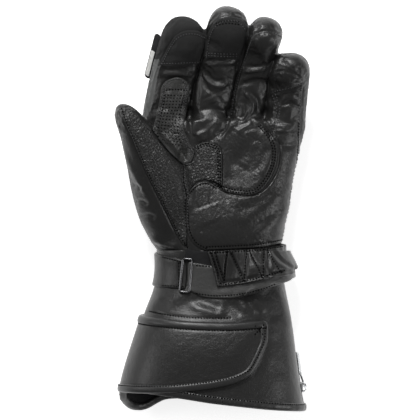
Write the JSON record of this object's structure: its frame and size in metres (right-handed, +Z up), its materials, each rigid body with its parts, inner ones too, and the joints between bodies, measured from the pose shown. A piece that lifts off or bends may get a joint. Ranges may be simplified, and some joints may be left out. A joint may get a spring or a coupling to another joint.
{
  "type": "heated gauntlet glove",
  "caption": "Left-hand padded leather gauntlet glove with separate fingers, a wrist strap with a ring, a flap and a flared cuff.",
  "frame": {"origin": "middle of the base of the glove's bounding box, on the surface that its back lies on", "axes": "+Y from the hem to the fingertips, +X to the little finger, +Z up out of the palm"},
  "size_m": [0.1498, 0.3118, 0.068],
  "materials": {
    "leather": "satin",
    "leather_tape": "satin",
    "perforated_leather": "satin",
    "grained_leather": "satin",
    "textile": "matte",
    "black_metal": "gloss",
    "steel": "satin",
    "white_weave": "matte"
  },
  "bodies": {
    "root": {"index_stall": "leather", "middle_stall": "leather", "ring_stall": "leather", "little_stall": "leather", "thumb_stall": "leather", "hand_shell": "leather", "gauntlet": "leather", "hem_binding": "leather_tape", "heel_patch": "leather", "palm_patch": "leather", "index_patch": "perforated_leather", "grip_panel": "grained_leather", "index_tip_panel": "textile", "middle_tip_panel": "textile", "thumb_panel": "grained_leather", "strap_ring": "black_metal", "strap_anchor": "leather", "wrist_strap": "leather", "gather_panel": "leather", "gauntlet_flap": "leather", "flap_binding": "leather_tape", "label_tab": "textile", "woven_label": "white_weave", "zip_tape": "textile", "zip_slider": "steel", "zip_pull": "steel"}
  },
  "joints": []
}
